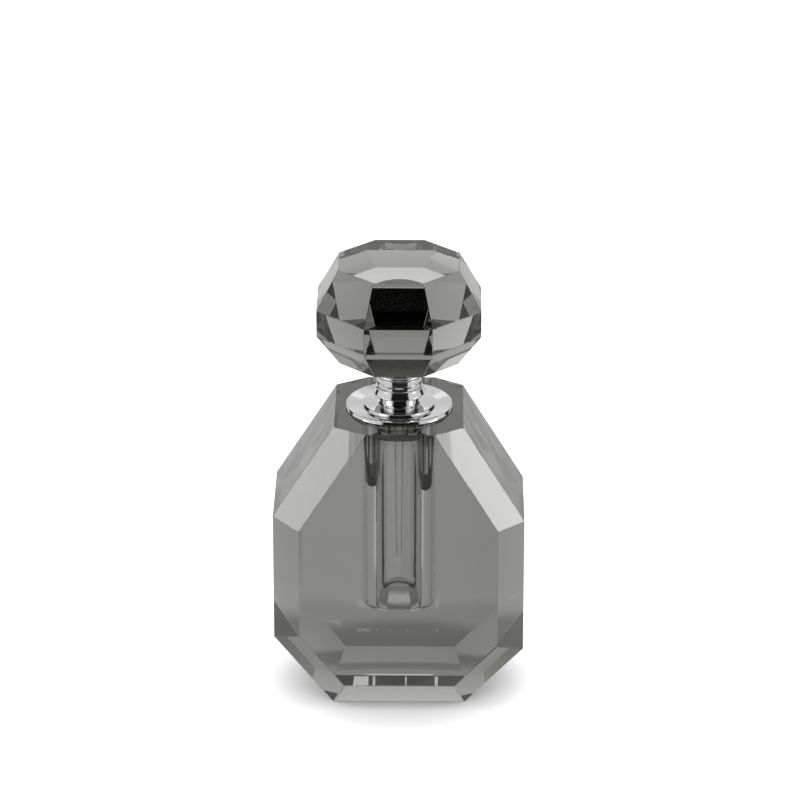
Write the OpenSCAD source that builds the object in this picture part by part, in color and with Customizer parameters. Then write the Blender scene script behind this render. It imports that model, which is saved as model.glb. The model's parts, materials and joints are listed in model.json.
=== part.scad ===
// Faceted crystal perfume bottle with a push-in ball stopper and a glass dabber rod.
// The origin is the centre of the flat bottom face. +Z is up and the wide front face looks along -Y.

/* [Crystal body] */
// Widest distance between the two upright side faces
body_w = 66; // [55:0.5:80]
// Distance between the front and back faces
body_d = 39; // [34:0.5:48]
// Height of the flat top face above the bottom
body_h = 79.6; // [74:0.2:90]
// Width of the flat top face
top_w = 33.6; // [31:0.2:40]
// Width of the flat bottom face
bottom_w = 35; // [28:0.5:44]
// Height where the left side face meets its shoulder
left_shoulder_h = 54.1; // [48:0.1:58]
// Height where the right side face meets its shoulder
right_shoulder_h = 53; // [48:0.1:58]
// Height where the left side face meets its lower facet
left_foot_h = 19.1; // [12:0.1:24]
// Height where the right side face meets its lower facet
right_foot_h = 15.9; // [12:0.1:24]

/* [Polished bevels] */
// How far each bevel runs back from the front and back faces
bevel_d = 5.1; // [3:0.1:7]
// Width of the bevels beside the upright side faces, seen from the front
side_bevel = 6.9; // [4:0.1:8]
// Width of the left shoulder bevel, seen from the front
left_shoulder_bevel = 7; // [4:0.1:8]
// Width of the right shoulder bevel, seen from the front
right_shoulder_bevel = 6.3; // [4:0.1:8]
// Width of the bevels beside the lower facets, seen from the front
foot_bevel = 6.9; // [4:0.1:8]
// Height of the bevels along the bottom edges
bottom_bevel = 7.2; // [4:0.1:8]

/* [Drilled bore] */
// Radius of the bore that holds the perfume
bore_r = 9.75; // [8:0.05:11]
// Height of the bore's floor above the bottom face
bore_floor_h = 25.8; // [18:0.2:34]
// Radius where the bore's wall meets its floor
bore_fillet = 1.5; // [0.5:0.1:3]

/* [Collar] */
// Outer radius of the dished collar flange
flange_r = 14.2; // [13:0.1:16]
// Height of the flange's rounded rim
flange_h = 0.95; // [0.8:0.05:2]
// Thickness of the flange where it is flat, under the step ring
flange_web = 0.25; // [0.2:0.05:0.8]
// Outer radius of the raised step ring
step_r = 9.45; // [8.5:0.05:10.5]
// Height of the step ring's outer shoulder
step_h = 0.75; // [0.4:0.05:1.5]
// Outer radius of the neck tube
neck_r = 5.15; // [4.6:0.05:5.15]
// Radius of the bore in the neck tube
neck_bore_r = 3.9; // [3.5:0.05:4]
// Height of the neck's lip above the crystal's top face
neck_h = 6.9; // [6:0.1:8]
// Depth of the glued sleeve below the crystal's top face
sleeve_h = 4.4; // [3:0.1:5]

/* [Stopper cap] */
// Largest radius of the cap, at its bulged lower edge
bulge_r = 6.9; // [6.4:0.05:8]
// Outer radius of the cap's straight wall
cap_r = 5.8; // [5.75:0.05:6.2]
// Radius of the recess that drops over the neck
recess_r = 5.35; // [5.3:0.05:5.4]
// Height of the cap's lower edge above the crystal's top face
cap_gap = 4; // [3.8:0.1:4.4]
// Thickness of the sealing washer on the neck's lip
washer_h = 0.6; // [0.4:0.1:1]

/* [Faceted ball] */
// Width of the ball across two opposite upright facets
girdle_w = 42.7; // [38:0.1:46]
// Width of the ball's flat top, across flats
table_w = 31.4; // [26:0.1:34]
// Width of the ball's flat bottom, across flats
culet_w = 30.7; // [24:0.1:34]
// Height of the facets above the girdle
crown_h = 10.5; // [8:0.1:12]
// Height of the upright girdle facets
girdle_h = 7.1; // [5:0.1:10]
// Height of the facets below the girdle
pavilion_h = 8.55; // [7:0.05:12]
// Height of the ball's flat bottom above the bottle's bottom face
ball_h = 94.1; // [92:0.1:96]

/* [Dabber] */
// Radius of the glass rod where it leaves its plug
rod_r = 2; // [1.5:0.1:2.4]
// Radius of the glass rod near its tip
rod_tip_r = 1.3; // [1:0.1:1.6]
// Height of the rod's tip above the bottle's bottom face
rod_tip_h = 37.5; // [30:0.5:50]
// Radial clearance between the sealing plug and the neck's bore
plug_play = 0.08; // [0.05:0.01:0.1]

/* [Hidden] */
$fn = 96;

half_d = body_d / 2;
far = 2 * (body_w + body_h);
mouth_chamfer = 0.4;

// Outline of the body seen from the front, clockwise from the top right corner
outline = [
  [top_w / 2, body_h],
  [body_w / 2, right_shoulder_h],
  [body_w / 2, right_foot_h],
  [bottom_w / 2, 0],
  [-bottom_w / 2, 0],
  [-body_w / 2, left_foot_h],
  [-body_w / 2, left_shoulder_h],
  [-top_w / 2, body_h]
];
// Bevel width beside each outline edge; the last edge, the top face, has none
bevels = [
  right_shoulder_bevel,
  side_bevel,
  foot_bevel,
  bottom_bevel,
  foot_bevel,
  side_bevel,
  left_shoulder_bevel,
  0
];

cement_t = 0.15;
flange_z = body_h + cement_t;
flange_in_z = flange_z + flange_web;
rim_top_z = flange_z + flange_h;
rim_round = 0.4;
dish_r = step_r + 0.25;

sleeve_r = bore_r - cement_t;
sleeve_wall = 1;
sleeve_z = body_h - sleeve_h;
web_z = flange_z - 1.3;
lip_z = body_h + neck_h;
neck_fillet = 0.5;

step_top_z = flange_in_z + step_h;
step_crest_z = step_top_z + 0.35;

washer_top_z = lip_z + washer_h;
washer_r = neck_r - 0.1;
washer_hole_r = neck_bore_r + 0.05;

cap_z = body_h + cap_gap;
bulge_z = cap_z + 0.5;
cap_waist_z = cap_z + 1.9;
cap_deck_z = washer_top_z + 1.4;
ring_r = cap_r + 0.2;
ring_h = 1.1;
seat_r = 7.4;
seat_h = 1.3;
glue_t = 0.15;
seat_top_z = ball_h - glue_t;
seat_stem_r = 4.6;
spigot_r = 3.2;
spigot_h = 1.2;

plug_r = neck_bore_r - plug_play;
plug_head_r = 3;
plug_h = 4.6;
plug_z = washer_top_z - plug_h;
rod_top_z = cap_deck_z - 0.3;

// Everything on the inner side of one outline edge, cut back along its front and back bevels
module edge_prism(p, q, bevel) {
  run = q - p;
  angle = atan2(run[0], -run[1]);
  profile = bevel > 0
    ? [[0, -half_d + bevel_d], [-bevel, -half_d], [-far, -half_d],
       [-far, half_d], [-bevel, half_d], [0, half_d - bevel_d]]
    : [[0, -half_d], [-far, -half_d], [-far, half_d], [0, half_d]];
  translate([p[0], 0, p[1]])
    rotate([0, -angle, 0])
      linear_extrude(height = far, center = true)
        polygon(profile);
}

module crystal_body() {
  color([0.42, 0.42, 0.43, 0.5])
    difference() {
      intersection_for(i = [0 : 7])
        edge_prism(outline[i], outline[(i + 1) % 8], bevels[i]);
      bore();
    }
}

// The drilled bore, with a rounded foot and a small chamfer at its mouth
module bore() {
  rotate_extrude()
    union() {
      translate([0, bore_floor_h + bore_fillet])
        square([bore_r, body_h - bore_floor_h - bore_fillet + 1]);
      translate([0, bore_floor_h])
        square([bore_r - bore_fillet, bore_fillet + 1]);
      translate([bore_r - bore_fillet, bore_floor_h + bore_fillet])
        circle(bore_fillet);
      polygon([
        [0, body_h - mouth_chamfer],
        [bore_r, body_h - mouth_chamfer],
        [bore_r + mouth_chamfer + 1, body_h + 1],
        [0, body_h + 1]
      ]);
    }
}

// Clear cement: a film under the flange and a thin sleeve around the insert
module collar_cement() {
  color([0.85, 0.86, 0.86, 0.6])
    rotate_extrude()
      union() {
        translate([sleeve_r, sleeve_z])
          square([cement_t, flange_z - sleeve_z]);
        translate([bore_r + mouth_chamfer, body_h])
          square([flange_r - bore_r - 2 * mouth_chamfer - 1, cement_t]);
        translate([sleeve_r, body_h])
          square([bore_r + mouth_chamfer - sleeve_r, cement_t]);
      }
}

module collar_flange() {
  color([0.82, 0.83, 0.85])
    rotate_extrude()
      union() {
        polygon([
          [neck_r, flange_z],
          [flange_r - rim_round, flange_z],
          [flange_r - rim_round, rim_top_z],
          [dish_r, flange_in_z],
          [neck_r, flange_in_z]
        ]);
        translate([flange_r - 2 * rim_round, flange_z + rim_round])
          square([2 * rim_round, flange_h - 2 * rim_round]);
        translate([flange_r - rim_round, flange_z + rim_round])
          circle(rim_round);
        translate([flange_r - rim_round, rim_top_z - rim_round])
          circle(rim_round);
      }
}

// Turned insert: a sleeve glued into the bore, a web, and the neck tube above it
module neck_insert() {
  color([0.8, 0.81, 0.83])
    rotate_extrude()
      difference() {
        union() {
          translate([neck_bore_r, web_z])
            square([neck_r - neck_bore_r, lip_z - web_z]);
          translate([neck_bore_r, web_z])
            square([sleeve_r - neck_bore_r, flange_z - web_z]);
          translate([sleeve_r - sleeve_wall, sleeve_z])
            square([sleeve_wall, flange_z - sleeve_z]);
        }
        polygon([
          [neck_bore_r - 1, lip_z - neck_fillet / 2],
          [neck_bore_r, lip_z - neck_fillet / 2],
          [neck_bore_r + neck_fillet / 2, lip_z],
          [neck_bore_r + neck_fillet / 2, lip_z + 1],
          [neck_bore_r - 1, lip_z + 1]
        ]);
      }
}

// Raised ring on the flange, rounded at its shoulder and hollowed up to the neck
module step_ring() {
  color([0.82, 0.83, 0.85])
    rotate_extrude()
      difference() {
        polygon([
          [neck_r, flange_in_z],
          [step_r, flange_in_z],
          [step_r, flange_in_z + 0.15],
          [step_r - 0.25, flange_in_z + 0.45],
          [step_r - 0.9, step_top_z],
          [neck_r + 1.2, step_crest_z - 0.1],
          [neck_r + 0.7, step_crest_z + 0.6],
          [neck_r, step_crest_z + 0.6]
        ]);
        translate([neck_r + 1.35, step_crest_z + 1])
          circle(1.12);
      }
}

module neck_washer() {
  color([0.93, 0.93, 0.9])
    translate([0, 0, lip_z])
      difference() {
        cylinder(h = washer_h, r = washer_r);
        translate([0, 0, -1])
          cylinder(h = washer_h + 2, r = washer_hole_r);
      }
}

// Turned cap: a bulged lower edge, a straight wall, and a deck that takes the plug
module cap_shell() {
  color([0.82, 0.83, 0.85])
    rotate_extrude()
      difference() {
        union() {
          polygon([
            [0, cap_z],
            [bulge_r - 0.35, cap_z],
            [bulge_r, bulge_z],
            [cap_r + 0.25, cap_waist_z],
            [0, cap_waist_z]
          ]);
          square_to(cap_r, cap_waist_z, cap_deck_z);
        }
        translate([0, cap_z - 1])
          square([recess_r, washer_top_z - cap_z + 1]);
        translate([0, washer_top_z - 1])
          square([plug_head_r, cap_deck_z - washer_top_z + 2]);
      }
}

// A square in a turned profile, from the axis out to r and from z0 up to z1
module square_to(r, z0, z1) {
  translate([0, z0])
    square([r, z1 - z0]);
}

module cap_ring() {
  color([0.82, 0.83, 0.85])
    rotate_extrude()
      union() {
        translate([spigot_r, cap_deck_z])
          square([ring_r - spigot_r - ring_h / 4, ring_h]);
        translate([spigot_r, cap_deck_z + ring_h / 4])
          square([ring_r - spigot_r, ring_h / 2]);
        translate([ring_r - ring_h / 4, cap_deck_z + ring_h / 4])
          circle(ring_h / 4);
        translate([ring_r - ring_h / 4, cap_deck_z + ring_h * 3 / 4])
          circle(ring_h / 4);
      }
}

// Flared seat under the ball, with a spigot pressed through the cap ring
module ball_seat() {
  color([0.82, 0.83, 0.85])
    rotate_extrude()
      polygon([
        [0, cap_deck_z],
        [spigot_r, cap_deck_z],
        [spigot_r, cap_deck_z + ring_h],
        [seat_stem_r, cap_deck_z + ring_h],
        [seat_stem_r, seat_top_z - seat_h - 0.6],
        [seat_r - 0.3, seat_top_z - 0.9],
        [seat_r, seat_top_z - 0.6],
        [seat_r, seat_top_z],
        [0, seat_top_z]
      ]);
}

module ball_glue() {
  color([0.85, 0.86, 0.86, 0.6])
    translate([0, 0, seat_top_z])
      cylinder(h = glue_t, r = seat_r - 0.3);
}

// Four prisms with the same outline, turned by 45 degrees each, leave an eight-sided ball
module crystal_ball() {
  girdle_z = ball_h + pavilion_h;
  crown_z = girdle_z + girdle_h;
  table_z = crown_z + crown_h;
  color([0.42, 0.42, 0.43, 0.5])
    intersection_for(turn = [0 : 45 : 135])
      rotate([90, 0, turn])
        linear_extrude(height = 2 * girdle_w, center = true)
          polygon([
            [-culet_w / 2, ball_h],
            [culet_w / 2, ball_h],
            [girdle_w / 2, girdle_z],
            [girdle_w / 2, crown_z],
            [table_w / 2, table_z],
            [-table_w / 2, table_z],
            [-girdle_w / 2, crown_z],
            [-girdle_w / 2, girdle_z]
          ]);
}

// Soft plug: its head is pressed into the cap's deck and its body seals in the neck
module dabber_plug() {
  color([0.93, 0.93, 0.9])
    difference() {
      union() {
        translate([0, 0, plug_z])
          cylinder(h = plug_h, r = plug_r);
        translate([0, 0, plug_z])
          cylinder(h = cap_deck_z - plug_z, r = plug_head_r);
      }
      translate([0, 0, plug_z - 1])
        cylinder(h = rod_top_z - plug_z + 1, r = rod_r);
    }
}

// Glass rod: straight in the plug, then tapered to a rounded tip
module dabber_rod() {
  color([0.8, 0.82, 0.83, 0.5])
    rotate_extrude()
      union() {
        polygon([
          [0, rod_tip_h + rod_tip_r],
          [rod_tip_r, rod_tip_h + rod_tip_r],
          [rod_r, plug_z],
          [rod_r, rod_top_z],
          [0, rod_top_z]
        ]);
        intersection() {
          translate([0, rod_tip_h + rod_tip_r])
            circle(rod_tip_r);
          translate([0, rod_tip_h - 1])
            square([rod_tip_r + 1, rod_tip_r + 1]);
        }
      }
}

crystal_body();
collar_cement();
collar_flange();
neck_insert();
step_ring();
neck_washer();
cap_shell();
cap_ring();
ball_seat();
ball_glue();
crystal_ball();
dabber_plug();
dabber_rod();
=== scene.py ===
"""Looks of a faceted crystal perfume bottle with a ball stopper and dabber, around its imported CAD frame."""
import json
import math

import bmesh
import bpy
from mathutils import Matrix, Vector


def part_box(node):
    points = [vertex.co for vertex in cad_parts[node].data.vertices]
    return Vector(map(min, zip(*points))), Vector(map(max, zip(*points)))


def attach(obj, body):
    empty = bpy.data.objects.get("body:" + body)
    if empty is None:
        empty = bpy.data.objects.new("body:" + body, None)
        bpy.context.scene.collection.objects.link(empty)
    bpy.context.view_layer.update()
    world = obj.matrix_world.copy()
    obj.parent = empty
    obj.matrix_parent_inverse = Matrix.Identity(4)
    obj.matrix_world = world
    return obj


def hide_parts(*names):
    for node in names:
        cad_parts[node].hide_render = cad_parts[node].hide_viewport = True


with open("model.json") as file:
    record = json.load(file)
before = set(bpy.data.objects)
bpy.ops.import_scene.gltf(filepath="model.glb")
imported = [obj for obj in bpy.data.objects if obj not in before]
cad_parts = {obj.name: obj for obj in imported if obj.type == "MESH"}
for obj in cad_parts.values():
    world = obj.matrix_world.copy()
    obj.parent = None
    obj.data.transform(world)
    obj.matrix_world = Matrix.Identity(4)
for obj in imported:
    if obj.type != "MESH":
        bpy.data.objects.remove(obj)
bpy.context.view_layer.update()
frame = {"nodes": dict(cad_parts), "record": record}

MM = 0.001

# Facets round a turned piece: metal, the bore, and the small soft or glass pieces
TURNS = 192
BORE_TURNS = 256
SMALL_TURNS = 96

# Width of the polished edges, and the block that the crystal is cut from
POLISH = 0.12 * MM
ROUGH_BLOCK = 0.5

# The crystal's optics
CRYSTAL_IOR = 1.55
CRYSTAL_FACE = 0.675
CRYSTAL_TINT = (0.50, 0.498, 0.472)
CRYSTAL_DENSITY = 40.0

# Light on the floor, above white so that only the contact shadow shows, and the backdrop the eye sees
FLOOR_GAIN = 2.35
BACKDROP = 1.5

# Bright streaks painted on the floor in front, seen as glints low in the bottle: place along X and half width
FLOOR_GLINTS = [(-0.0103, 0.002), (-0.0068, 0.0003), (0.0018, 0.0002), (0.01, 0.0004)]
FLOOR_GLINT_GAIN = 8.0

# Floor disc: radius, and its drop below the bottle's foot
FLOOR_RADIUS = 4.0
FLOOR_DROP = 0.15 * MM

# The drilled bore, the rod's tip and the hidden middle of the stopper, in millimetres
BORE_R = 9.75
BORE_FLOOR = 25.8
BORE_FILLET = 1.5
BORE_CHAMFER = 0.4
ROD_TIP_R = 1.3
PLUG_HEAD_R = 3.0
SPIGOT_R = 3.2
STEM_R = 4.6

# The view: elevation and turn around the bottle, distance, lens and sensor
VIEW_ELEVATION = math.radians(23.05)
VIEW_TURN = math.radians(0.67)
VIEW_DISTANCE = 1.117
VIEW_TARGET = Vector((0.0002, 0.0, 0.08123))
LENS = 191.5
SENSOR = 36.0


# ---------------------------------------------------------------- meshes

def new_object(name, mesh):
    piece = bpy.data.objects.new(name, mesh)
    bpy.context.scene.collection.objects.link(piece)
    return piece


def mesh_from(bm, name, sharp_angle=None):
    """A finished mesh from a bmesh, smooth except across edges sharper than sharp_angle degrees."""
    bmesh.ops.recalc_face_normals(bm, faces=bm.faces[:])
    mesh = bpy.data.meshes.new(name)
    bm.to_mesh(mesh)
    bm.free()
    if sharp_angle is not None:
        mesh.polygons.foreach_set("use_smooth", [True] * len(mesh.polygons))
        mesh.set_sharp_from_angle(angle=math.radians(sharp_angle))
    return mesh


def facet_planes(node):
    """The flat outer facets of a CAD node, one (point, normal) for each."""
    mesh = frame["nodes"][node].data
    points = [v.co for v in mesh.vertices]
    planes = {}
    for face in mesh.polygons:
        key = tuple(round(c, 3) for c in face.normal)
        if key not in planes or face.area > planes[key][2]:
            planes[key] = (face.center.copy(), face.normal.copy(), face.area)
    tolerance = 0.02 * MM
    return [
        (point, normal)
        for point, normal, _ in planes.values()
        if all((p - point).dot(normal) < tolerance for p in points)
    ]


def cut_solid(planes):
    """The convex solid inside every plane, as a bmesh."""
    bm = bmesh.new()
    bmesh.ops.create_cube(bm, size=ROUGH_BLOCK)
    for point, normal in planes:
        whole = bm.verts[:] + bm.edges[:] + bm.faces[:]
        cut = bmesh.ops.bisect_plane(
            bm, geom=whole, dist=1e-7, plane_co=point, plane_no=normal, clear_outer=True
        )
        rim = [e for e in cut["geom_cut"] if isinstance(e, bmesh.types.BMEdge)]
        bmesh.ops.contextual_create(bm, geom=rim)
    return bm


def polish_edges(bm, width):
    """Rounds every edge by a narrow bevel, as wheel polishing leaves it."""
    bmesh.ops.bevel(
        bm, geom=bm.edges[:], offset=width, segments=2, profile=0.5, affect="EDGES", clamp_overlap=True
    )


def arc(centre_r, centre_z, radius, start, end, steps=8):
    """Points on an arc in the (r, z) plane, angles in degrees from +r towards +z."""
    return [
        (
            centre_r + radius * math.cos(math.radians(start + (end - start) * i / steps)),
            centre_z + radius * math.sin(math.radians(start + (end - start) * i / steps)),
        )
        for i in range(steps + 1)
    ]


def lathe(name, profile, turns=TURNS, sharp_angle=28, closed=True):
    """Turns a closed (r, z) profile, in millimetres, into a solid of revolution."""
    bm = bmesh.new()
    rings = []
    for r, z in profile:
        if r < 1e-6:
            rings.append([bm.verts.new((0, 0, z * MM))])
            continue
        rings.append([
            bm.verts.new((
                r * MM * math.cos(2 * math.pi * k / turns),
                r * MM * math.sin(2 * math.pi * k / turns),
                z * MM,
            ))
            for k in range(turns)
        ])
    pairs = list(zip(rings, rings[1:]))
    if closed:
        pairs.append((rings[-1], rings[0]))
    for low, high in pairs:
        if len(low) == 1 and len(high) == 1:
            continue
        for k in range(turns):
            j = (k + 1) % turns
            corners = [low[k % len(low)], low[j % len(low)], high[j % len(high)], high[k % len(high)]]
            unique = [v for n, v in enumerate(corners) if v not in corners[:n]]
            bm.faces.new(unique)
    return mesh_from(bm, name, sharp_angle)


def subtract(name, solid_mesh, tool_mesh):
    """solid minus tool, as a new mesh."""
    solid = new_object("cut_solid", solid_mesh)
    tool = new_object("cut_tool", tool_mesh)
    cut = solid.modifiers.new("cut", "BOOLEAN")
    cut.operation = "DIFFERENCE"
    cut.solver = "EXACT"
    cut.object = tool
    evaluated = solid.evaluated_get(bpy.context.evaluated_depsgraph_get())
    mesh = bpy.data.meshes.new_from_object(evaluated)
    mesh.name = name
    for piece in (solid, tool):
        bpy.data.objects.remove(piece)
    return mesh


# ---------------------------------------------------------------- materials

def new_material(name):
    material = bpy.data.materials.new(name)
    material.use_nodes = True
    tree = material.node_tree
    return material, tree, tree.nodes["Principled BSDF"], tree.nodes["Material Output"]


def add_noise(tree, scale, detail=4.0):
    coords = tree.nodes.new("ShaderNodeTexCoord")
    noise = tree.nodes.new("ShaderNodeTexNoise")
    noise.inputs["Scale"].default_value = scale
    noise.inputs["Detail"].default_value = detail
    tree.links.new(coords.outputs["Object"], noise.inputs["Vector"])
    return noise


def map_range(tree, source, low, high, from_low=0.3, from_high=0.7):
    node = tree.nodes.new("ShaderNodeMapRange")
    node.inputs["From Min"].default_value = from_low
    node.inputs["From Max"].default_value = from_high
    node.inputs["To Min"].default_value = low
    node.inputs["To Max"].default_value = high
    tree.links.new(source, node.inputs["Value"])
    return node.outputs["Result"]


def crystal_material():
    """Smoke-grey crystal: clear polished surfaces, and a grey glass that darkens with depth."""
    material, tree, shader, output = new_material("smoke_crystal")
    striae = add_noise(tree, 60.0)
    tone = map_range(tree, striae.outputs["Fac"], CRYSTAL_FACE - 0.01, CRYSTAL_FACE + 0.01)
    tree.links.new(tone, shader.inputs["Base Color"])
    shader.inputs["Transmission Weight"].default_value = 1.0
    shader.inputs["IOR"].default_value = CRYSTAL_IOR
    shader.inputs["Roughness"].default_value = 0.0
    absorb = tree.nodes.new("ShaderNodeVolumeAbsorption")
    absorb.inputs["Color"].default_value = (*CRYSTAL_TINT, 1)
    absorb.inputs["Density"].default_value = CRYSTAL_DENSITY
    tree.links.new(absorb.outputs["Volume"], output.inputs["Volume"])
    return material


def clear_glass_material():
    """The dabber rod's clear glass."""
    material, tree, shader, _ = new_material("clear_glass")
    striae = add_noise(tree, 120.0)
    tree.links.new(map_range(tree, striae.outputs["Fac"], 0.95, 0.98), shader.inputs["Base Color"])
    shader.inputs["Transmission Weight"].default_value = 1.0
    shader.inputs["IOR"].default_value = 1.48
    shader.inputs["Roughness"].default_value = 0.0
    return material


def chrome_material():
    """Bright plating with a fine unevenness in its polish."""
    material, tree, shader, _ = new_material("chrome_plate")
    shader.inputs["Base Color"].default_value = (0.66, 0.66, 0.665, 1)
    shader.inputs["Metallic"].default_value = 1.0
    noise = add_noise(tree, 900.0)
    tree.links.new(map_range(tree, noise.outputs["Fac"], 0.02, 0.06), shader.inputs["Roughness"])
    return material


def soft_plastic_material():
    """The washer's and plug's matt plastic."""
    material, tree, shader, _ = new_material("soft_plastic")
    shader.inputs["Base Color"].default_value = (0.42, 0.42, 0.41, 1)
    noise = add_noise(tree, 400.0)
    tree.links.new(map_range(tree, noise.outputs["Fac"], 0.35, 0.5), shader.inputs["Roughness"])
    return material


def cement_material():
    """The films of cement and glue, seen only through the crystal."""
    material, tree, shader, _ = new_material("clear_cement")
    shader.inputs["Base Color"].default_value = (0.55, 0.55, 0.55, 1)
    noise = add_noise(tree, 700.0)
    tree.links.new(map_range(tree, noise.outputs["Fac"], 0.3, 0.45), shader.inputs["Roughness"])
    return material


# ---------------------------------------------------------------- pieces

def place(mesh, name, material, body, node):
    """Adds a finished mesh as the piece that replaces a CAD node and rides on a body."""
    piece = new_object(name, mesh)
    piece.data.materials.clear()
    piece.data.materials.append(material)
    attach(piece, body)
    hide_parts(node)
    return piece


def fillet(corner, before, after, radius, steps=5):
    """Points that round the corner of an (r, z) outline between its neighbours."""
    corner, before, after = Vector(corner), Vector(before), Vector(after)
    to_before = (before - corner).normalized()
    to_after = (after - corner).normalized()
    half = to_before.angle(to_after) / 2
    reach = radius / math.tan(half)
    reach = min(reach, 0.49 * (before - corner).length, 0.49 * (after - corner).length)
    radius = reach * math.tan(half)
    centre = corner + (to_before + to_after).normalized() * (radius / math.sin(half))
    start = corner + to_before * reach - centre
    end = corner + to_after * reach - centre
    sweep = start.angle_signed(end)
    points = []
    for i in range(steps + 1):
        angle = -sweep * i / steps
        turned = Vector((
            start.x * math.cos(angle) - start.y * math.sin(angle),
            start.x * math.sin(angle) + start.y * math.cos(angle),
        ))
        points.append(tuple(centre + turned))
    return points


def rounded(outline, radius):
    """An (r, z) outline with its corners rounded; a corner may carry its own radius as a third value."""
    points = []
    count = len(outline)
    for i, corner in enumerate(outline):
        own = corner[2] if len(corner) > 2 else radius
        before = outline[i - 1][:2]
        after = outline[(i + 1) % count][:2]
        if own < 1e-4 or corner[0] < 1e-6:
            points.append(tuple(corner[:2]))
        else:
            points += fillet(corner[:2], before, after, own)
    return points


def heights(node):
    """The bottom, the top and the outer radius of a CAD node, in millimetres."""
    low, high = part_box(node)
    return low.z / MM, high.z / MM, high.x / MM


def bore_tool():
    """The bore's hollow, a little longer than the bore at its mouth."""
    top = heights("crystal_body")[1]
    r, floor, radius = BORE_R, BORE_FLOOR, BORE_FILLET
    profile = [(0, floor), *arc(r - radius, floor + radius, radius, -90, 0, 16)]
    profile += [
        (r, top - BORE_CHAMFER),
        (r + 2 * BORE_CHAMFER, top + BORE_CHAMFER),
        (0, top + BORE_CHAMFER),
    ]
    return lathe("bore_tool", profile, turns=BORE_TURNS)


def build_body(crystal):
    """The faceted bottle: flat facets outside, a smooth bore inside."""
    solid = cut_solid(facet_planes("crystal_body"))
    polish_edges(solid, POLISH)
    mesh = subtract("bottle_crystal", mesh_from(solid, "solid"), bore_tool())
    reach = (BORE_R + 0.001) * MM
    for face in mesh.polygons:
        face.use_smooth = all(mesh.vertices[i].co.xy.length < reach for i in face.vertices)
    return place(mesh, "bottle_crystal", crystal, "bottle", "crystal_body")


def build_ball(crystal):
    """The faceted ball on the stopper."""
    solid = cut_solid(facet_planes("crystal_ball"))
    polish_edges(solid, POLISH)
    mesh = mesh_from(solid, "ball_crystal")
    return place(mesh, "ball_crystal", crystal, "stopper", "crystal_ball")


def build_collar(chrome):
    """The dished flange, the step ring on it and the neck tube through both."""
    low, high, r = heights("collar_flange")
    web = heights("step_ring")[0]
    inner = heights("neck_washer")[2] + 0.1
    dish_r = heights("step_ring")[2] + 0.25
    outline = [
        (inner, low, 0),
        (r - 0.1, low, 0.05),
        (r, low + 0.12, 0.08),
        (r - 0.35, high - 0.06, 0.12),
        (r - 0.7, high, 0.2),
        (dish_r + 0.6, web + 0.1, 1.6),
        (dish_r - 0.8, web, 0),
        (inner, web, 0),
    ]
    flange = lathe("flange", rounded(outline, 0.1))
    place(flange, "flange_chrome", chrome, "bottle", "collar_flange")

    low, high, r = heights("step_ring")
    outline = [
        (inner, low, 0),
        (r, low, 0.0),
        (r, low + 0.2, 0.1),
        (r - 0.35, high - 0.95, 0.35),
        (inner + 0.5, high - 0.8, 0.35),
        (inner + 0.05, high - 0.35, 0.1),
        (inner, high - 0.35, 0),
    ]
    step = lathe("step", rounded(outline, 0.1))
    place(step, "step_chrome", chrome, "bottle", "step_ring")


def build_neck(chrome, plastic):
    """The glued insert with its neck tube, and the soft washer on the neck's lip."""
    low, high, sleeve = heights("neck_insert")
    flange = heights("collar_flange")[0]
    inner = heights("neck_washer")[2] + 0.1
    hole = heights("dabber_plug")[2] + 0.08
    outline = [
        (sleeve - 1, low, 0.3),
        (sleeve, low, 0.3),
        (sleeve, flange, 0.05),
        (inner, flange, 0),
        (inner, high, 0.25),
        (hole, high, 0.25),
        (hole, flange - 1.3, 0.1),
        (sleeve - 1, flange - 1.3, 0.2),
    ]
    insert = lathe("insert", rounded(outline, 0.1))
    place(insert, "neck_chrome", chrome, "bottle", "neck_insert")

    low, high, r = heights("neck_washer")
    outline = [(hole + 0.05, low), (r, low), (r, high), (hole + 0.05, high)]
    washer = lathe("washer", rounded(outline, 0.12), turns=SMALL_TURNS)
    place(washer, "washer_plastic", plastic, "washer", "neck_washer")


def build_cap(chrome):
    """The turned cap, the ring on its deck and the flared seat under the ball."""
    low, high, bulge = heights("cap_shell")
    under = heights("neck_washer")[1]
    ring_r = heights("cap_ring")[2]
    wall = ring_r - 0.2
    recess = heights("neck_washer")[2] + 0.3
    outline = [
        (recess, low, 0.1),
        (bulge - 0.2, low, 0.15),
        (bulge, low + 0.25, 0.2),
        (wall + 0.35, low + 1.7, 0.3),
        (wall + 0.35, low + 2.1, 0.15),
        (wall, low + 2.3, 0.1),
        (wall, low + 3.35, 0.1),
        (wall + 0.15, low + 3.5, 0.08),
        (wall, low + 3.65, 0.1),
        (wall, high, 0.12),
        (PLUG_HEAD_R, high, 0),
        (PLUG_HEAD_R, under, 0),
        (recess, under, 0.1),
    ]
    shell = lathe("shell", rounded(outline, 0.1))
    place(shell, "cap_chrome", chrome, "stopper", "cap_shell")

    low, high, r = heights("cap_ring")
    outline = [(SPIGOT_R, low, 0), (r, low, 0.5), (r, high, 0.5), (SPIGOT_R, high, 0)]
    ring = lathe("ring", rounded(outline, 0.5))
    place(ring, "ring_chrome", chrome, "stopper", "cap_ring")

    bottom, top, r = heights("ball_seat")
    outline = [
        (0, bottom),
        (SPIGOT_R, bottom, 0),
        (SPIGOT_R, high, 0),
        (STEM_R, high, 0.1),
        (STEM_R, top - 1.9, 0.5),
        (r - 0.3, top - 0.9, 0.3),
        (r, top - 0.6, 0.2),
        (r, top, 0.12),
        (0, top),
    ]
    seat = lathe("seat", rounded(outline, 0.2))
    place(seat, "seat_chrome", chrome, "stopper", "ball_seat")


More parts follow.
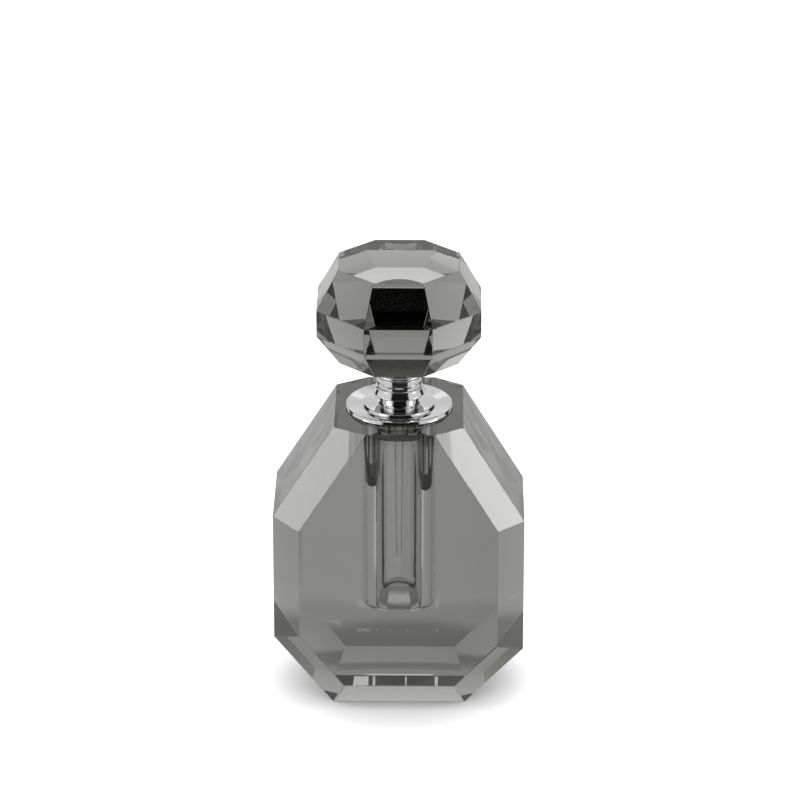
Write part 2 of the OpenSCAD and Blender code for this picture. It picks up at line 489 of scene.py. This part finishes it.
def build_dabber(glass, plastic):
    """The soft sealing plug with its pressed head, and the tapered glass rod."""
    low, high, r = heights("dabber_plug")
    top = heights("neck_washer")[1]
    rod_low, rod_high, rod = heights("dabber_rod")
    outline = [
        (rod, low, 0.2),
        (r, low, 0.4),
        (r, top, 0.1),
        (PLUG_HEAD_R, top, 0),
        (PLUG_HEAD_R, high, 0),
        (0, high),
        (0, rod_high),
        (rod, rod_high, 0),
    ]
    plug = lathe("plug", rounded(outline, 0.1), turns=SMALL_TURNS)
    place(plug, "plug_plastic", plastic, "stopper", "dabber_plug")

    rod_end = rod_high - 0.05
    profile = [*arc(0, rod_low + ROD_TIP_R, ROD_TIP_R, -90, 0, 12), (rod, low), (rod, rod_end), (0, rod_end)]
    profile[0] = (0, rod_low)
    rod_mesh = lathe("rod", profile, turns=SMALL_TURNS)
    place(rod_mesh, "rod_glass", glass, "stopper", "dabber_rod")


def build_joints(cement):
    """The clear cement under the flange and round the sleeve, and the glue under the ball."""
    low, high, r = heights("collar_cement")
    top = heights("crystal_body")[1]
    outline = [
        (BORE_R - 0.15, low),
        (BORE_R - 0.01, low),
        (BORE_R - 0.01, top + 0.01),
        (r, top + 0.01),
        (r, high),
        (BORE_R - 0.15, high),
    ]
    film = lathe("film", rounded(outline, 0))
    place(film, "collar_film", cement, "bottle", "collar_cement")
    low, high, r = heights("ball_glue")
    glue = lathe("glue", rounded([(0, low), (r, low), (r, high), (0, high)], 0.05))
    place(glue, "ball_film", cement, "stopper", "ball_glue")


# ---------------------------------------------------------------- studio

class Field:
    """A value in a shader tree that takes plain arithmetic."""

    def __init__(self, tree, socket):
        self.tree = tree
        self.socket = socket

    def math(self, operation, other=None):
        node = self.tree.nodes.new("ShaderNodeMath")
        node.operation = operation
        self.tree.links.new(self.socket, node.inputs[0])
        if isinstance(other, Field):
            self.tree.links.new(other.socket, node.inputs[1])
        elif other is not None:
            node.inputs[1].default_value = other
        return Field(self.tree, node.outputs[0])

    def __add__(self, other):
        return self.math("ADD", other)

    def __mul__(self, other):
        return self.math("MULTIPLY", other)

    def rise(self, low, high):
        """0 below low, 1 above high, smooth between."""
        node = self.tree.nodes.new("ShaderNodeMapRange")
        node.interpolation_type = "SMOOTHSTEP"
        node.inputs["From Min"].default_value = low
        node.inputs["From Max"].default_value = high
        self.tree.links.new(self.socket, node.inputs["Value"])
        return Field(self.tree, node.outputs["Result"])

    def fall(self, low, high):
        return self.rise(low, high) * -1.0 + 1.0

    def window(self, low, high, soft):
        """1 between low and high, 0 outside, each edge soft either way."""
        return self.rise(low - soft, low + soft) * self.fall(high - soft, high + soft)

    def lit(self, where, change):
        """This value, raised or lowered by the fraction change where the mask is 1."""
        return self * (where * change + 1.0)


def direction_fields(tree, vector):
    """Azimuth and elevation, in degrees, of a direction; azimuth 0 is towards the viewer, 90 is +X."""
    split = tree.nodes.new("ShaderNodeSeparateXYZ")
    tree.links.new(vector, split.inputs["Vector"])
    x, y, z = (Field(tree, split.outputs[k]) for k in "XYZ")
    azimuth = x.math("ARCTAN2", y * -1.0) * math.degrees(1)
    elevation = z.math("ARCSINE") * math.degrees(1)
    return azimuth, elevation


def studio_light(azimuth, elevation):
    """Radiance round the bottle: a white tent behind, a softbox each side, a dark room in front."""
    side = azimuth.math("ABSOLUTE")
    behind = side.rise(115, 135)

    # The tent: dimmer just above the floor behind, most of all towards +X, then a dim and a bright band
    dimming = azimuth.rise(-20, 20) * -0.3 + -0.08
    tent = behind * elevation.fall(4, 14) * dimming + 1.08
    tent = tent.lit(behind * elevation.window(18, 27, 2), -0.08)
    tent = tent.lit(behind * elevation.window(28, 32.5, 1), 0.35)

    # A dark gap each side behind, with a brighter foot next to it, and a small one straight behind
    tent = tent.lit(side.window(112, 146, 3) * elevation.window(-5, 52, 4), -0.95)
    tent = tent.lit(side.window(147, 160, 3) * elevation.fall(4, 10), 0.55)
    tent = tent.lit(side.rise(173, 175) * elevation.window(33.5, 38.5, 0.7), -0.9)

    # Below the horizon, which only shows through the gap in the floor
    below = elevation.fall(-2.5, -1.5)
    tent = tent * (below * -1.0 + 1.0) + below * 1.04
    tent = tent.lit(side.rise(166, 170) * elevation.window(-24, -6.2, 0.7), -1.0)

    tent = tent.lit(front_room(azimuth) * elevation.fall(54, 62), -0.985)

    # The softboxes, brightest low down
    left = azimuth.window(-78, -48, 6)
    right = azimuth.window(64, 85, 4)
    low = elevation.window(2, 12, 3)
    tall = elevation.window(34, 58, 4)
    return tent + left * (low * 5.9 + tall * 1.6) + right * (low * 10.8 + tall * 1.4)


def front_room(azimuth):
    """The unlit side of the studio, behind the viewer."""
    return azimuth.window(-37, 45, 5)


def polar_fields(x, y):
    """Radius and azimuth, in degrees, of a place on the floor."""
    radius = (x * x + y * y).math("SQRT")
    azimuth = x.math("ARCTAN2", y * -1.0) * math.degrees(1)
    return radius, azimuth


def floor_light(x, y):
    """Radiance of the floor as crystal and chrome see it: painted light and dark patches, placed to suit."""
    radius, azimuth = polar_fields(x, y)
    side = azimuth.math("ABSOLUTE")
    across = x.math("ABSOLUTE")
    near = across.fall(0.04, 0.06)
    ahead = y * -1.0

    # Dimmer towards the bottle and under it, with lit patches under the foot
    level = radius.rise(0.2, 0.35) * 0.1 + 0.76
    level = level.lit(radius.fall(0.026, 0.03), ahead.rise(-0.004, 0.004) * 0.35 + -0.3)
    level = level.lit(x.rise(-0.01, 0.03) * y.rise(0, 0.03), -0.08)
    level = level.lit(across.window(0.009, 0.019, 0.001) * y.window(-0.001, 0.012, 0.002), 2.3)
    level = level.lit(across.fall(0.008, 0.01) * y.window(0.0135, 0.019, 0.002), 2.0)

    # A lit patch each side, and the shade round the bottle's foot
    level = level.lit(side.window(50, 78, 4) * radius.window(0.09, 0.16, 0.01), 0.6)
    foot = radius.window(0.03, 0.05, 0.005) * ahead.fall(0.016, 0.022)
    level = level * (foot * (side.window(60, 120, 10) * 0.3 + 0.4) * -1.0 + 1.0)

    # In front: a bright strip, a dark strip and the dark room's floor
    level = level.lit(near * ahead.window(0.026, 0.042, 0.003), 0.8)
    level = level.lit(near * ahead.window(0.046, 0.085, 0.004), -0.85)
    level = level.lit(front_room(azimuth) * radius.rise(0.19, 0.2), -0.97)

    for centre, half in FLOOR_GLINTS:
        bar = x.window(centre - half, centre + half, 0.0002) * ahead.window(0.03, 0.0395, 0.0006)
        level = level + bar * FLOOR_GLINT_GAIN

    # Behind: a bright strip before the gap, and a dimmer far side towards +X
    level = level.lit(side.rise(166, 170) * radius.window(0.238, 0.272, 0.004), 1.2)
    return level.lit(azimuth.window(135, 165, 5) * radius.rise(0.7, 0.9), -0.3)


def floor_gap(x, y):
    """A gap in the floor behind the bottle, where the dark of the studio shows to a steep look only."""
    radius, azimuth = polar_fields(x, y)
    return azimuth.math("ABSOLUTE").rise(166, 170) * radius.window(0.272, 0.9, 0.004)


def build_floor():
    """A pale floor: matt to the eye, with its colour darkened round the bottle's foot as a painted contact
    shadow, and painted light where crystal or chrome looks at it.
    """
    bm = bmesh.new()
    bmesh.ops.create_circle(bm, cap_ends=True, segments=128, radius=FLOOR_RADIUS)
    floor = new_object("studio_floor", mesh_from(bm, "studio_floor"))
    floor.location.z = -FLOOR_DROP
    material = bpy.data.materials.new("studio_floor")
    material.use_nodes = True
    tree = material.node_tree
    tree.nodes.clear()
    geometry = tree.nodes.new("ShaderNodeNewGeometry")
    split = tree.nodes.new("ShaderNodeSeparateXYZ")
    tree.links.new(geometry.outputs["Position"], split.inputs["Vector"])
    x, y = (Field(tree, split.outputs[k]) for k in "XY")
    radius, _ = polar_fields(x, y)
    glow = tree.nodes.new("ShaderNodeEmission")
    tree.links.new(floor_light(x, y).socket, glow.inputs["Strength"])
    matt = tree.nodes.new("ShaderNodeBsdfDiffuse")
    # Painted contact shadow: the matt colour is darker within about 45 mm of the bottle's middle, 0.7 under
    # the foot against 0.9 further out
    tree.links.new((radius.rise(0.018, 0.045) * 0.2 + 0.7).socket, matt.inputs["Color"])
    path = tree.nodes.new("ShaderNodeLightPath")
    eye = Field(tree, path.outputs["Is Camera Ray"])
    plain = eye.math("MAXIMUM", Field(tree, path.outputs["Is Diffuse Ray"]))
    clear = tree.nodes.new("ShaderNodeBsdfTransparent")
    gap = tree.nodes.new("ShaderNodeMixShader")
    tree.links.new(floor_gap(x, y).socket, gap.inputs["Fac"])
    tree.links.new(glow.outputs["Emission"], gap.inputs[1])
    tree.links.new(clear.outputs["BSDF"], gap.inputs[2])
    mix = tree.nodes.new("ShaderNodeMixShader")
    output = tree.nodes.new("ShaderNodeOutputMaterial")
    tree.links.new(plain.socket, mix.inputs["Fac"])
    tree.links.new(gap.outputs["Shader"], mix.inputs[1])
    tree.links.new(matt.outputs["BSDF"], mix.inputs[2])
    tree.links.new(mix.outputs["Shader"], output.inputs["Surface"])
    material.cycles.emission_sampling = "NONE"
    floor.data.materials.append(material)


def build_world():
    """The backdrop for the eye, an even light for matt surfaces, and the painted studio for the rest."""
    world = bpy.data.worlds.new("studio")
    bpy.context.scene.world = world
    world.use_nodes = True
    world.cycles.sampling_method = "NONE"
    tree = world.node_tree
    tree.nodes.clear()
    coords = tree.nodes.new("ShaderNodeTexCoord")
    azimuth, elevation = direction_fields(tree, coords.outputs["Generated"])
    path = tree.nodes.new("ShaderNodeLightPath")
    eye = Field(tree, path.outputs["Is Camera Ray"])
    matt = Field(tree, path.outputs["Is Diffuse Ray"])
    painted = (eye + matt) * -1.0 + 1.0
    level = studio_light(azimuth, elevation) * painted + eye * BACKDROP + matt * FLOOR_GAIN
    background = tree.nodes.new("ShaderNodeBackground")
    output = tree.nodes.new("ShaderNodeOutputWorld")
    tree.links.new(level.socket, background.inputs["Strength"])
    tree.links.new(background.outputs["Background"], output.inputs["Surface"])


def build_camera():
    """The photograph's view."""
    data = bpy.data.cameras.new("camera")
    data.lens = LENS
    data.sensor_width = SENSOR
    camera = bpy.data.objects.new("camera", data)
    bpy.context.scene.collection.objects.link(camera)
    flat = math.cos(VIEW_ELEVATION)
    away = Vector((math.sin(VIEW_TURN) * flat, -math.cos(VIEW_TURN) * flat, math.sin(VIEW_ELEVATION)))
    camera.location = VIEW_TARGET + VIEW_DISTANCE * away
    camera.rotation_euler = (-away).to_track_quat("-Z", "Y").to_euler()
    bpy.context.scene.camera = camera


def paint_cad_nodes(materials):
    """Gives each CAD node the material of the slot its record names."""
    for name, node in frame["nodes"].items():
        slot = next(s["material_slot"] for s in frame["record"]["subparts"] if s["node"] == name)
        node.data.materials.clear()
        node.data.materials.append(materials[slot])


def main():
    crystal = crystal_material()
    chrome = chrome_material()
    materials = {
        "smoke_crystal": crystal,
        "clear_glass": clear_glass_material(),
        "chrome_plate": chrome,
        "soft_plastic": soft_plastic_material(),
        "clear_cement": cement_material(),
    }
    paint_cad_nodes(materials)
    build_body(crystal)
    build_ball(crystal)
    build_collar(chrome)
    build_neck(chrome, materials["soft_plastic"])
    build_cap(chrome)
    build_dabber(materials["clear_glass"], materials["soft_plastic"])
    build_joints(materials["clear_cement"])
    build_floor()
    build_world()
    build_camera()
    scene = bpy.context.scene
    scene.view_settings.view_transform = "Standard"
    scene.cycles.max_bounces = 32
    scene.cycles.transmission_bounces = 32
    scene.cycles.glossy_bounces = 16


main()
